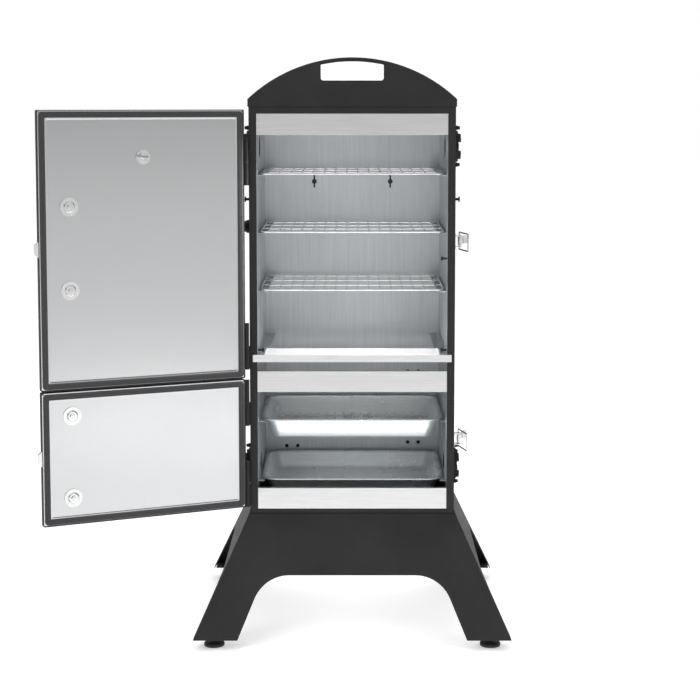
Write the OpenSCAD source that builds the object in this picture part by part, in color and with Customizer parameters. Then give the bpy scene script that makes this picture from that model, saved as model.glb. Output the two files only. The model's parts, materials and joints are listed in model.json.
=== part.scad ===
// Free-standing cabinet smoker on a splayed sheet-steel stand, with two doors that hang on the left.
// Millimetres, +Z up, front towards -Y, origin on the floor under the middle of the cabinet.

/* [Cabinet] */
// Width of the cabinet over its side panels
cabinet_w = 457; // [400:1:560]
// Depth of the cabinet from the face frame to the back panel
cabinet_d = 385; // [320:1:480]
// Height of the cabinet body between the stand and the roof
cabinet_h = 911; // [750:1:1100]
// Width of the face frame's two stiles
stile_w = 17; // [15:0.5:30]
// Height of the face frame's top band
top_band_h = 15; // [8:1:30]
// Height of the face frame's bottom band
bottom_band_h = 10; // [8:1:15]
// Thickness of the painted outer sheets
outer_t = 1.2; // [0.8:0.1:2]
// Thickness of the stainless liner sheets
liner_t = 0.8; // [0.6:0.1:1.5]
// Space for insulation behind the back wall
back_gap = 33; // [15:1:60]
// Height of the stainless rails across the front
rail_h = 47; // [30:1:50]
// Depth of the rails' folded edges
rail_fold = 12; // [6:1:20]
// Height of the middle rail above the cabinet's bottom
middle_rail_z = 276; // [260:1:330]

/* [Roof] */
// Height of the short upright edge at each side of the roof
eaves_h = 17; // [8:1:30]
// Rise of the roof's arch above its upright edges
roof_rise = 91; // [60:1:140]
// Overhang of the roof past the cabinet's sides
roof_overhang = 2; // [1:0.5:6]
// Width of the blank name plate
plate_w = 138; // [80:1:200]
// Height of the blank name plate at its middle
plate_h = 41.5; // [25:0.5:50]

/* [Stand] */
// Height of the stand's sheets, without the feet
stand_h = 259; // [200:1:320]
// Width of the stand at the bottom
stand_w = 702; // [600:1:860]
// Depth of the stand at the bottom
stand_d = 594; // [500:1:720]
// Width of each leg at its bottom end
leg_w = 98; // [70:1:130]
// Height of the arch's flat top above the leg ends
arch_h = 132; // [90:1:160]
// Radius where the arch turns into the legs
arch_r = 82; // [40:1:100]
// Thickness of the stand's sheets
stand_t = 2; // [1.5:0.1:4]
// Height of the leg ends above the floor
foot_h = 24; // [18:1:40]
// Diameter of the levelling feet
foot_dia = 46; // [30:1:60]
// How far a levelling foot screws out
foot_travel = 15; // [8:1:20]

/* [Doors] */
// Thickness of the doors without the gasket
door_t = 18; // [14:1:30]
// Height of the gap between the two doors
door_gap = 2.5; // [2:0.5:5]
// Width of the gasket
gasket_w = 13; // [8:0.5:16]
// Thickness of the gasket
gasket_t = 4; // [3:0.5:8]
// Distance from the door's edge to the gasket
gasket_inset = 3.5; // [3:0.5:10]
// Angle that the doors stand open
door_angle = 157; // [90:1:170]
// Distance from the free edge to the handle's bolts
handle_inset = 66; // [50:1:100]
// Distance between the handle's bolts
handle_spacing = 178; // [120:1:200]
// Diameter of the handle's grip
grip_dia = 20; // [14:1:30]
// Distance from the door to the middle of the grip
grip_reach = 46; // [35:1:60]
// Diameter of the thermometer
dial_dia = 76; // [60:1:90]

/* [Hinges] */
// Height of each hinge
hinge_h = 104; // [70:1:110]
// Diameter of the hinge knuckles
knuckle_dia = 9; // [8:0.5:11]
// Diameter of the hinge pins
hinge_pin_dia = 5; // [3:0.5:6]
// Gap between the hinge knuckles and the cabinet's side
hinge_gap = 0.5; // [0.5:0.5:4]

/* [Inside] */
// Wire of the cooking racks' frames
frame_wire = 5; // [4:0.5:7]
// Wire of the cooking racks' bars
bar_wire = 3; // [2:0.5:4]
// Number of bars in a cooking rack
bar_count = 16; // [10:1:20]
// Depth of the cooking racks from front to back
rack_d = 303; // [240:1:306]
// Space below the lowest rack, down to the drip shelf
rack_bottom_gap = 142; // [90:1:160]
// Space above the highest rack, up to the ceiling
rack_top_gap = 134; // [90:1:150]
// Distance from the face frame to the racks and pans
front_gap = 30; // [20:1:40]
// Length of the pans over their rims
pan_d = 306; // [240:1:308]
// Depth of the fuel pan
fuel_pan_h = 48; // [30:1:60]
// Height of the fuel pan's rim above the cabinet's bottom
fuel_pan_z = 208; // [180:1:220]
// Depth of the water pan
water_pan_h = 39; // [25:1:55]
// Height of the water pan's rim above the cabinet's bottom
water_pan_z = 72; // [66:1:90]
// Thickness of the pans' sheet
pan_t = 1; // [0.8:0.1:1.5]
// Pitch of the fuel grate's bars
grate_pitch = 20.7; // [14:0.1:30]
// Height of the drip shelf above the middle rail's foot
shelf_up = 84; // [64:1:90]
// Height of the drip shelf's front lip
lip_h = 16; // [10:1:20]
// Depth of the drip shelf's flat front ledge
ledge_d = 98; // [60:1:140]
// Gap behind the drip shelf, where the smoke rises
shelf_back_gap = 77; // [60:1:120]

/* [Side fittings] */
// Diameter of the dampers
damper_dia = 76; // [66:1:90]
// Distance of the dampers behind the cabinet's front
damper_setback = 130; // [128:1:260]
// Distance of the upper dampers below the cabinet's top
upper_damper_drop = 90; // [60:1:140]
// Height of the lower dampers above the cabinet's bottom
lower_damper_z = 86; // [64:1:120]
// Diameter of the damper's air holes
air_hole_dia = 20; // [12:1:26]
// Height of the latches over their wire bails
latch_h = 41.5; // [41:0.5:50]
// Wire of the latches' bails
bail_wire = 3.5; // [3:0.5:4.5]

/* [Hidden] */
$fn = 48;
slack = 0.3;            // gap between pieces that move past each other
pin_slack = 0.05;       // running clearance round a pin
x_out = cabinet_w / 2;
y_front = -cabinet_d / 2;
y_back = cabinet_d / 2;
z_cab = foot_h + stand_h;
z_top = z_cab + cabinet_h;
x_in = x_out - stile_w;                     // inner face of the side walls
y_in = y_back - outer_t - back_gap;         // inner face of the back wall
z_floor = z_cab + bottom_band_h;            // bottom of the door opening
z_ceil = z_top - top_band_h;                // top of the door opening

// Rails across the front
z_mid_rail = z_cab + middle_rail_z;
z_split = z_mid_rail + rail_h * 0.69;       // line between the two doors
z_shelf = z_mid_rail + shelf_up;            // top of the drip shelf

// Racks, evenly spaced between the drip shelf and the ceiling
rack_low_z = z_shelf + rack_bottom_gap;
rack_step = (z_ceil - rack_top_gap - rack_low_z) / 2;
rack_z = [for (i = [0:2]) rack_low_z + i * rack_step];
ledge_in = 22;                              // how far a support ledge reaches in from the wall
pan_ledge_in = 13;                          // the same for the pans
shelf_rest = 8;                             // how far the drip shelf's edges lie on their ledges
rack_half = x_in - 3.5;
bar_pitch = (2 * rack_half - frame_wire) / (bar_count + 0.4);
y_rack = y_front + front_gap;

// Pans
pan_half = x_in - 4.5;
pan_body_half = x_in - pan_ledge_in - 2;
z_fuel = z_cab + fuel_pan_z;
z_water = z_cab + water_pan_z;
pan_rim = pan_half - pan_body_half;
pan_corner = 30;
pan_taper = 12;
rim_bead = 4;
pan_floor_half = pan_body_half - pan_taper;
pan_floor_d = pan_d - 2 * pan_rim - 2 * pan_taper;
y_pan_mid = y_rack + pan_d / 2;

// Doors, in their closed place
leaf_t = 1;                                 // the hinges' leaves
leaf_screw_h = 0.2;
// Gap between the face frame and a closed door, with room for the hinges and the drip shelf's lip
seal_gap = leaf_t + leaf_screw_h + pan_t + 2 * slack;
y_seal = y_front - seal_gap;                // face of the gasket
y_pan = y_seal - gasket_t;                  // inner face of the door
y_skin = y_pan - door_t;                    // outer face of the door
door_edge_z = 17.5;
upper_z = [z_split + door_gap / 2, z_top - 6];
lower_z = [z_cab + door_edge_z, z_split - door_gap / 2];
bolt_x = x_out - handle_inset;
bolt_r = 3;
bolt_slack = 0.3;
cup_r = 20;
upper_handle_z = (upper_z[0] + upper_z[1]) / 2 + 4.5;
lower_handle_z = (lower_z[0] + lower_z[1]) / 2 + 2.5;
dial_z = upper_z[1] - 101;
stem_r = 5;
needle_rest = 225;                          // the needle points to the cold end of the scale
keeper_h = 33;
keeper_out = 9;
keeper_d = 8;
z_keeper_upper = upper_handle_z;
z_keeper_lower = lower_handle_z;

// Hinges
hinge_out = knuckle_dia / 2 + hinge_gap;    // from the cabinet's side to the hinge axis
hinge_x = -x_out - hinge_out;
hinge_y = y_front - seal_gap - 6.2;
hinge_z = [upper_z[1] - 62.5, upper_z[0] + 123, lower_z[1] - 1.5, lower_z[0] + 104];  // upper ends
leaf_w = 15;

// Roof
roof_half = x_out + roof_overhang;
z_eaves = z_top + eaves_h;
roof_r = (roof_half * roof_half + roof_rise * roof_rise) / (2 * roof_rise);
z_roof_c = z_eaves + roof_rise - roof_r;
roof_d = cabinet_d + 2 * roof_overhang;

// Stand: sloping sheets between a top outline and a bottom outline
stand_lip = 3;
top_half_x = x_out + stand_lip;
top_half_y = cabinet_d / 2 + stand_lip;
splay_x = stand_w / 2 - top_half_x;
splay_y = stand_d / 2 - top_half_y;
front_slope = atan(splay_y / stand_h);
side_slope = atan(splay_x / stand_h);
front_run = stand_h / cos(front_slope);
side_run = stand_h / cos(side_slope);
arch_lean = 0.43;                           // how far the legs' inner edges lean, per unit of height
flange_w = 26;
foot_x = stand_w / 2 - leg_w * 0.45;
foot_y = stand_d / 2 - 42;
stem_dia = 10;
pad_h = 10;
bracket_t = 3;
bracket_z = foot_h + 10;

// Side fittings
y_damper = y_front + damper_setback;
z_damper = [z_top - upper_damper_drop, z_cab + lower_damper_z];
damper_hole_r = damper_dia * 0.37;          // opening in the walls behind a damper
damper_pitch_r = damper_dia * 0.245;        // circle of the air holes
seat_t = 10;
disc_t = 1.5;
rivet_r = 3;
y_peg = y_front + 60;
z_peg = z_top - 207;
y_port = y_front + 70;
z_port = z_top - 269;

probe_hole_r = 9;
port_r = 4;
wall_slot_y = y_front + 128;
wall_slot_z = z_shelf + 105;
keyhole_x = 92;
keyhole_z = z_ceil - 166;
back_holes = [[-161, 80], [-134, 80], [136, 89], [162, 89], [136, 265], [162, 265]];

// Latches, in their closed place: measured out from the side panel and back from the face frame
latch_rest = 15;                            // angle of the lever at rest
bail_rest = 17;                             // angle of the bail at rest
lever_pivot = [12, 30];
bail_pivot = [8, 44];
hook_at = [5, -(seal_gap + gasket_t + 11.7)];
lever_half = 9;
latch_pin_r = 2;
bail_half = latch_h / 2 - bail_wire / 2;

// ---- shared shapes ----

// Points along an arc about c, from angle a0 to a1
function arc(c, r, a0, a1, n = 12) =
    [for (i = [0:n]) c + r * [cos(a0 + (a1 - a0) * i / n), sin(a0 + (a1 - a0) * i / n)]];

// A box from its lowest to its highest corner
module block(low, high) { translate(low) cube(high - low); }

module mirrored_x() { children(); mirror([1, 0, 0]) children(); }

// A flat rounded rectangle about the middle
module rounded(w, h, r) {
    square([w - 2 * r, h], center = true);
    square([w, h - 2 * r], center = true);
    for (x = [-1, 1], y = [-1, 1]) translate([x * (w / 2 - r), y * (h / 2 - r)]) circle(r);
}

// Extrudes a flat shape drawn in X and Z along Y, from y towards the back
module along_y(y, length) {
    translate([0, y + length, 0]) rotate([90, 0, 0]) linear_extrude(length) children();
}

// A round bar from a to b
module bar(a, b, r) {
    v = b - a;
    length = norm(v);
    translate(a) rotate([0, acos(v[2] / length), atan2(v[1], v[0])]) cylinder(r = r, h = length);
}

// Turns a closed door to the angle at which it stands open
module hung() {
    translate([hinge_x, hinge_y, 0]) rotate([0, 0, -door_angle])
        translate([-hinge_x, -hinge_y, 0]) children();
}

// ---- cabinet ----

// Round openings through both side walls, as deep as x_from to x_to
module damper_openings(r, x_from, x_to) {
    mirrored_x() for (z = z_damper) translate([x_from, y_damper, z]) rotate([0, 90, 0])
        cylinder(r = r, h = x_to - x_from);
}

module probe_opening(r, x_from, x_to) {
    translate([-x_to, y_port, z_port]) rotate([0, 90, 0]) cylinder(r = r, h = x_to - x_from);
}

module side_panels() {
    color([0.2, 0.2, 0.2]) difference() {
        mirrored_x() block([x_out - outer_t, y_front + outer_t, z_cab + outer_t],
                           [x_out, y_back - outer_t, z_top - outer_t]);
        damper_openings(damper_hole_r, x_out - 2 * outer_t, x_out + outer_t);
        probe_opening(probe_hole_r, x_out - 2 * outer_t, x_out + outer_t);
    }
}

module back_panel() {
    color([0.2, 0.2, 0.2]) block([-x_out, y_back - outer_t, z_cab + outer_t],
                                 [x_out, y_back, z_top - outer_t]);
}

module end_panels() {
    color([0.2, 0.2, 0.2]) for (z = [z_cab, z_top - outer_t])
        block([-x_out, y_front + outer_t, z], [x_out, y_back, z + outer_t]);
}

module face_frame() {
    color([0.19, 0.19, 0.19]) difference() {
        block([-x_out, y_front, z_cab], [x_out, y_front + outer_t, z_top]);
        block([-x_in, y_front - 1, z_floor], [x_in, y_front + outer_t + 1, z_ceil]);
    }
}

module side_walls() {
    color([0.75, 0.76, 0.77]) difference() {
        mirrored_x() block([x_in, y_front + outer_t, z_floor + liner_t],
                           [x_in + liner_t, y_in, z_ceil]);
        damper_openings(damper_hole_r, x_in - 1, x_in + 2 * liner_t);
        probe_opening(probe_hole_r, x_in - 1, x_in + 2 * liner_t);
        mirrored_x() block([x_in - 1, wall_slot_y, wall_slot_z],
                           [x_in + 2 * liner_t, wall_slot_y + 5, wall_slot_z + 9]);
    }
}

// A keyhole: a round hole with a slot above and below it
module keyhole() {
    circle(6);
    square([4, 30], center = true);
}

module back_wall() {
    color([0.72, 0.73, 0.74]) difference() {
        block([-x_in - liner_t, y_in, z_floor + liner_t], [x_in + liner_t, y_in + liner_t, z_ceil]);
        along_y(y_in - 1, liner_t + 2) {
            for (x = [-keyhole_x, keyhole_x]) translate([x, keyhole_z]) keyhole();
            for (p = back_holes) translate([p[0], z_cab + p[1]]) circle(4.5);
        }
    }
}

module ceiling() {
    color([0.72, 0.73, 0.74]) block([-x_in - liner_t, y_front + outer_t, z_ceil],
                                    [x_in + liner_t, y_in + liner_t, z_ceil + liner_t]);
}

module chamber_floor() {
    color([0.3, 0.31, 0.33]) difference() {
        block([-x_in - liner_t, y_front + outer_t, z_floor],
              [x_in + liner_t, y_in + liner_t, z_floor + liner_t]);
        block([-2, y_front + front_gap, z_floor - 1], [2, y_in - front_gap, z_floor + 2]);
    }
}

module cabinet_insulation() {
    gap = 0.5;
    color([0.8, 0.78, 0.6]) difference() {
        union() {
            mirrored_x() block([x_in + liner_t + gap, y_front + outer_t + gap, z_floor],
                               [x_out - outer_t - gap, y_in, z_ceil]);
            block([-x_in, y_in + liner_t + gap, z_floor],
                  [x_in, y_back - outer_t - gap, z_ceil]);
            block([-x_in, y_front + outer_t + gap, z_ceil + liner_t + gap],
                  [x_in, y_in, z_top - outer_t - gap]);
        }
        damper_openings(damper_hole_r + 2, x_in, x_out);
        probe_opening(probe_hole_r + 2, x_in, x_out);
    }
}

// A rail across the front: a face with its two edges folded back
module front_rail(z) {
    y = y_front + 0.2;
    difference() {
        block([-x_in, y, z], [x_in, y + rail_fold, z + rail_h]);
        block([-x_in - 1, y + liner_t, z + liner_t], [x_in + 1, y + rail_fold + 1, z + rail_h - liner_t]);
    }
}

module front_rails() {
    color([0.82, 0.82, 0.82]) {
        front_rail(z_ceil - rail_h);
        front_rail(z_mid_rail);
        front_rail(z_floor + liner_t);
    }
}

// A folded ledge along the right wall, reaching in from it; its flange guides what rests on it
module support_rail(z, reach) {
    along_y(y_rack, y_in - y_rack) {
        translate([x_in - 1, z - 1]) square([1, 11]);
        translate([x_in - reach, z - 1]) square([reach, 1]);
    }
}

module support_rails() {
    color([0.7, 0.71, 0.72]) mirrored_x() {
        for (z = rack_z) support_rail(z - frame_wire / 2 - slack, ledge_in);
        for (z = [z_fuel, z_water]) support_rail(z - rim_bead - slack, pan_ledge_in);
        support_rail(z_shelf - pan_t - slack, x_in - pan_body_half + shelf_rest);
    }
}

// ---- roof ----

module roof_section(inset) {
    intersection() {
        translate([0, z_roof_c]) circle(roof_r - inset, $fn = 180);
        translate([-roof_half + inset, z_top]) square([2 * (roof_half - inset), roof_rise + eaves_h]);
    }
}

module roof_sheet() {
    color([0.2, 0.2, 0.2]) along_y(-roof_d / 2, roof_d) difference() {
        roof_section(0);
        roof_section(outer_t);
    }
}

module roof_fascias() {
    color([0.21, 0.21, 0.21]) for (y = [-roof_d / 2, roof_d / 2 - outer_t])
        along_y(y, outer_t) roof_section(outer_t + 0.1);
}

// A blank plate with an arched top, and two rivets
module name_plate() {
    r = roof_r - 9;
    low = z_roof_c + r - plate_h;
    y = -roof_d / 2 - 1.5;
    color("white") {
        along_y(y, 1.4) intersection() {
            translate([0, z_roof_c]) circle(r, $fn = 180);
            union() {
                translate([0, low + plate_h / 2]) rounded(plate_w, plate_h, 6);
                translate([-plate_w / 2 + 6, low + 6]) square([plate_w - 12, plate_h]);
            }
        }
        for (x = [-1, 1]) translate([x * (plate_w / 2 - 12), y - 0.6, low + plate_h / 2 - 4])
            rotate([-90, 0, 0]) cylinder(r = 2, h = 1.2);
    }
}

// ---- stand ----

// One sloping sheet, drawn flat with its top edge on the X axis: half widths at the top and the
// bottom, its length down the slope, and whether it has an arch between two legs
module sheet_outline(top, bottom, run, leg) {
    leg_in = bottom - leg;
    shoulder = run - arch_h * run / stand_h;
    lean = atan((leg_in - arch_top_half(bottom, leg)) / (run - shoulder));
    turn = (90 - lean) / 2;
    reach = arch_r * tan(turn);
    k = arch_top_half(bottom, leg);
    c = [k - reach, -shoulder - arch_r];
    polygon(concat(
        [[-top, 0], [-bottom, -run], [-leg_in, -run]],
        [for (p = arc([-c[0], c[1]], arch_r, 180 - lean, 90)) p],
        [for (p = arc(c, arch_r, 90, lean)) p],
        [[leg_in, -run], [bottom, -run], [top, 0]]));
}

// Half the width of the arch where its flat top would meet the legs' inner edges
function arch_top_half(bottom, leg) = bottom - leg - arch_h * arch_lean;

module stand_panel() {
    translate([0, -top_half_y, z_cab]) rotate([90 - front_slope, 0, 0]) {
        translate([0, 0, -stand_t]) linear_extrude(stand_t)
            sheet_outline(top_half_x, stand_w / 2, front_run, leg_w);
    }
    // folded top edge that carries the cabinet
    block([-top_half_x + 4, -top_half_y + 1, z_cab - stand_t], [top_half_x - 4, -top_half_y + 26, z_cab]);
}

module stand_front() { color([0.21, 0.21, 0.21]) stand_panel(); }

module stand_back() { color([0.21, 0.21, 0.21]) mirror([0, 1, 0]) stand_panel(); }

// The side sheets lie between the front and the back sheets
module side_sheet() {
    translate([top_half_x, 0, z_cab]) rotate([0, 0, 90]) rotate([90 - side_slope, 0, 0])
        translate([0, 0, -stand_t]) linear_extrude(stand_t)
            sheet_outline(top_half_y - stand_t * 1.5, stand_d / 2 - stand_t * 1.5, side_run, flange_w);
    block([top_half_x - 26, -top_half_y + 27, z_cab - stand_t], [top_half_x - 1, top_half_y - 27, z_cab]);
}

module stand_sides() { color([0.3, 0.3, 0.3]) mirrored_x() side_sheet(); }

// Repeats what stands at the right back corner in all four corners
module four_corners() {
    for (a = [0, 1], b = [0, 1]) mirror([a, 0, 0]) mirror([0, b, 0]) children();
}

// Each bracket reaches to the inner faces of the two sheets of its corner
module foot_brackets() {
    level = bracket_z + bracket_t;
    share = (z_cab - level) / stand_h;
    reach_x = top_half_x + splay_x * share - stand_t / cos(side_slope);
    reach_y = top_half_y + splay_y * share - stand_t / cos(front_slope);
    color([0.2, 0.2, 0.2]) four_corners() difference() {
        union() {
            block([foot_x - 24, foot_y - 24, bracket_z], [reach_x, reach_y, level]);
            translate([foot_x, foot_y, level]) cylinder(r = 9, h = 8, $fn = 6);
        }
        translate([foot_x, foot_y, bracket_z - 1]) cylinder(r = stem_dia / 2 + pin_slack, h = bracket_t + 10);
    }
}

module foot() {
    color([0.13, 0.13, 0.13]) {
        cylinder(r = foot_dia / 2, h = pad_h - 3);
        translate([0, 0, pad_h - 3]) cylinder(r1 = foot_dia / 2, r2 = foot_dia / 2 - 4, h = 3);
        cylinder(r = stem_dia / 2, h = bracket_z + bracket_t + 12 + foot_travel);
        translate([0, 0, pad_h]) cylinder(r = 8.5, h = 5, $fn = 6);
    }
}

// ---- hinges, screws and side fittings ----

// The lower half of each hinge: knuckle, pin and the leaf on the face frame
module cabinet_hinges() {
    half = hinge_h / 2 - slack / 2;
    color([0.16, 0.16, 0.16]) for (top = hinge_z) translate([hinge_x, hinge_y, top - hinge_h]) {
        cylinder(r = knuckle_dia / 2, h = half);
        cylinder(r = hinge_pin_dia / 2, h = hinge_h - 3);
        block([knuckle_dia / 2 - 1.7, 0, 0], [knuckle_dia / 2 - 0.5, y_front - hinge_y, half]);
        block([knuckle_dia / 2 - 1.7, y_front - hinge_y - leaf_t, 0],
              [hinge_out + leaf_w, y_front - hinge_y, half]);
    }
}

// A low round screw head that faces +Z
module screw_head(r, h) {
    difference() {
        cylinder(r = r, h = h);
        for (a = [0, 90]) rotate(a) translate([-r * 0.6, -r * 0.12, h * 0.5]) cube([r * 1.2, r * 0.24, h]);
    }
}

module cabinet_fasteners() {
    color([0.15, 0.15, 0.15]) {
        // two screws in each hinge leaf
        for (top = hinge_z, dz = [12, 45])
            translate([hinge_x + hinge_out + leaf_w / 2 + 1, y_front - leaf_t, top - hinge_h + dz])
                rotate([90, 0, 0]) screw_head(3, leaf_screw_h);
        // four screws below the sill rail
        for (x = [-196, -65, 65, 196]) translate([x * x_in / 211.5, y_front, z_cab + 5])
            rotate([90, 0, 0]) screw_head(3, 0.9);
        // bolts through the side walls that keep the drip shelf down, and one higher on the right
        mirrored_x() translate([x_in, y_front + 24, z_shelf + 8]) wall_bolt();
        translate([x_in, y_front + 24, rack_z[0] + 72]) wall_bolt();
    }
}

// A bolt that points in from the right wall, with its head
module wall_bolt() {
    rotate([0, -90, 0]) {
        cylinder(r = 2.5, h = 13.5);
        translate([0, 0, 9]) cylinder(r = 4.5, h = 4.5, $fn = 6);
    }
}

// Hook pegs on both sides and the probe port on the left
module side_fittings() {
    color([0.2, 0.2, 0.2]) {
        mirrored_x() translate([x_out, y_peg, z_peg]) rotate([0, 90, 0]) {
            cylinder(r = 8, h = 1.5);
            cylinder(r = 3, h = 12);
            translate([0, 0, 10]) cylinder(r = 6, h = 3);
        }
        difference() {
            translate([-x_out, y_port, z_port]) rotate([0, -90, 0]) {
                linear_extrude(2) rounded(76, 30, 8);
                cylinder(r = 15, h = 8);
                translate([0, 0, 8]) cylinder(r1 = 15, r2 = 10, h = 9.5);
                for (x = [-31, 31]) translate([x, 0, 2]) screw_head(3.5, 2);
            }
            probe_opening(port_r, x_out - 1, x_out + 20);
        }
    }
}

// ---- dampers ----

module air_holes(h) {
    for (a = [90, 210, 330]) rotate(a) translate([damper_pitch_r, 0, -1])
        cylinder(r = air_hole_dia / 2, h = h + 2);
}

// Fixed rings with three air holes, and the rivets that the dampers turn on
module damper_seats() {
    color([0.14, 0.14, 0.14]) mirrored_x() for (z = z_damper)
        translate([x_out, y_damper, z]) rotate([0, 90, 0]) {
            difference() {
                cylinder(r = damper_dia / 2 - 2, h = seat_t);
                air_holes(seat_t);
            }
            translate([0, 0, 1]) cylinder(r = rivet_r, h = seat_t + disc_t + 1);
            translate([0, 0, seat_t + disc_t + 2 * slack]) cylinder(r = rivet_r + 4, h = 2.5);
            for (x = [-1, 1]) translate([x * (damper_dia / 2 + 4), 0, 0]) {
                cylinder(r = 5, h = seat_t + 2);
                translate([0, 0, seat_t + 2]) cylinder(r = 4, h = 5, $fn = 6);
            }
        }
}

// A turning disc with the same air holes and four finger blocks
module damper(side, z) {
    mirror([side < 0 ? 1 : 0, 0, 0]) translate([x_out + seat_t + slack, y_damper, z]) rotate([0, 90, 0])
        difference() {
            union() {
                cylinder(r = damper_dia / 2 - 3, h = disc_t);
                for (a = [52, 128, 232, 308]) rotate([0, 0, a])
                    translate([damper_dia / 2 - 9.5, -10, 0]) cube([5, 20, disc_t + 6]);
            }
            air_holes(disc_t);
            translate([0, 0, -1]) cylinder(r = rivet_r + pin_slack, h = disc_t + 2);
        }
}

// ---- latches ----

// Turns what is drawn about a pivot, outwards from the side panel
module swung(pivot, angle) {
    translate([pivot[0], pivot[1], 0]) rotate([0, 0, angle])
        translate([-pivot[0], -pivot[1], 0]) children();
}

// Puts a latch on the right side panel at a height
module on_latch_seat(z) { translate([x_out, y_front, z]) children(); }

module latch_base() {
    difference() {
        block([0, 16, -18], [1.5, 62, 18]);
        for (p = [[22, 12], [22, -12], [56, 12], [56, -12]]) translate([-1, p[0], p[1]])
            rotate([0, 90, 0]) cylinder(r = 2.1, h = 4);
    }
    for (z = [-13, 11]) translate([0, 0, z]) {
        block([0, lever_pivot[1] - 8, 0], [lever_pivot[0], lever_pivot[1] + 8, 2]);
        translate([lever_pivot[0], lever_pivot[1], 0]) cylinder(r = 5, h = 2);
    }
    translate([lever_pivot[0], lever_pivot[1], -14]) cylinder(r = latch_pin_r, h = 28);
    for (p = [[22, 12], [22, -12], [56, 12], [56, -12]]) translate([1.5, p[0], p[1]])
        rotate([0, 90, 0]) cylinder(r = 3.5, h = 1.2);
}

module latch_bases() {
    color([0.75, 0.75, 0.75]) for (z = [z_keeper_upper, z_keeper_lower]) on_latch_seat(z) latch_base();
}

// A lever between the two pivots and its lifted tip
module latch_lever() {
    py = lever_pivot[1];
    px = lever_pivot[0];
    color([0.8, 0.8, 0.8]) translate([0, 0, -lever_half]) difference() {
        linear_extrude(2 * lever_half) {
            translate(lever_pivot) circle(4.5);
            translate(bail_pivot) circle(4);
            polygon([[px + 4.5, py], [px + 3, py + 20], [px + 1, py + 38], [px + 2.5, py + 48],
                     [px + 8, py + 56], [px + 6, py + 58], [px, py + 50], [px - 1.5, py + 38],
                     [px - 2, py + 26], [bail_pivot[0] - 2, bail_pivot[1] + 3], [px - 4, py + 1]]);
        }
        translate([px, py, -1]) cylinder(r = latch_pin_r + pin_slack, h = 2 * lever_half + 2);
        translate([bail_pivot[0], bail_pivot[1], -1])
            cylinder(r = bail_wire / 2 + pin_slack, h = 2 * lever_half + 2);
    }
}

// The wire loop that hooks over the door's keeper
module latch_bail() {
    r = bail_wire / 2;
    b = bail_pivot;
    color([0.8, 0.8, 0.8]) {
        for (s = [-1, 1]) {
            bar([b[0], b[1], s * 3], [b[0], b[1], s * bail_half], r);
            bar([b[0], b[1], s * bail_half], [hook_at[0], hook_at[1], s * bail_half], r);
            for (p = [b, hook_at]) translate([p[0], p[1], s * bail_half]) sphere(r);
        }
        bar([hook_at[0], hook_at[1], -bail_half], [hook_at[0], hook_at[1], bail_half], r);
    }
}

module lever_at_rest(z) { on_latch_seat(z) swung(lever_pivot, -latch_rest) latch_lever(); }

module bail_at_rest(z) {
    on_latch_seat(z) swung(lever_pivot, -latch_rest) swung(bail_pivot, bail_rest + latch_rest) latch_bail();
}

// ---- doors, drawn closed and hung open ----

// What goes through a door from its inner to its outer face: handle bolts at the given heights
module through_door(r, y_from, y_to, bolts) {
    for (z = bolts) translate([bolt_x, y_from, z]) rotate([90, 0, 0]) cylinder(r = r, h = y_from - y_to);
}

function handle_bolts(z) = [z - handle_spacing / 2, z + handle_spacing / 2];

module stem_hole(r, y_from, y_to) {
    translate([0, y_from, dial_z]) rotate([90, 0, 0]) cylinder(r = r, h = y_from - y_to);
}

// A painted pan with its open side towards the cabinet
module door_skin(z) {
    color([0.2, 0.2, 0.2]) difference() {
        block([-x_out, y_skin, z[0]], [x_out, y_pan, z[1]]);
        block([-x_out + outer_t, y_skin + outer_t, z[0] + outer_t],
              [x_out - outer_t, y_pan + 1, z[1] - outer_t]);
    }
}

module door_liner(z) {
    color([0.7, 0.7, 0.71]) block([-x_out + outer_t, y_pan - liner_t, z[0] + outer_t],
                                  [x_out - outer_t, y_pan, z[1] - outer_t]);
}

module door_gasket(z) {
    w = 2 * (x_out - gasket_inset);
    h = z[1] - z[0] - 2 * gasket_inset;
    color([0.23, 0.23, 0.23]) translate([0, 0, (z[0] + z[1]) / 2]) along_y(y_pan, gasket_t) difference() {
        rounded(w, h, 8);
        rounded(w - 2 * gasket_w, h - 2 * gasket_w, 2);
    }
}

module door_insulation(z) {
    gap = outer_t + 0.5;
    color([0.8, 0.78, 0.6]) block([-x_out + gap, y_skin + gap, z[0] + gap],
                                  [x_out - gap, y_pan - liner_t - 0.5, z[1] - gap]);
}

// A straight round grip on two stand-offs
module door_handle(z) {
    color([0.7, 0.7, 0.7]) {
        y_grip = y_skin - grip_reach;
        translate([bolt_x, y_grip, z - handle_spacing / 2 - 32]) cylinder(r = grip_dia / 2, h = handle_spacing + 64);
        for (b = handle_bolts(z)) translate([bolt_x, y_skin, b]) rotate([90, 0, 0]) {
            cylinder(r = 12, h = 4);
            cylinder(r = 8, h = grip_reach - grip_dia / 4);
        }
    }
}

// A dished washer with a nut, facing the inside of the cabinet
module cup_washer() {
    rotate([-90, 0, 0]) difference() {
        union() {
            cylinder(r = cup_r, h = 1);
            cylinder(r1 = 13, r2 = 10, h = 3.5);
            translate([0, 0, 3]) cylinder(r = 6, h = 4, $fn = 6);
        }
        translate([0, 0, -1]) cylinder(r = bolt_r + pin_slack, h = 9);
    }
}

// Bolts and cup washers of a handle, and the keeper on the free edge
module door_hardware(z) {
    color([0.8, 0.8, 0.8]) {
        for (b = handle_bolts(z)) translate([bolt_x, y_pan, b]) cup_washer();
        through_door(bolt_r, y_pan + 7.5, y_skin, handle_bolts(z));
        translate([x_out, y_pan - 0.2 - keeper_d, z]) along_y(0, keeper_d)
            polygon([[0, -keeper_h / 2], [keeper_out, -keeper_h / 2 + 6], [keeper_out, keeper_h / 2 - 6],
                     [0, keeper_h / 2]]);
    }
}

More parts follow.
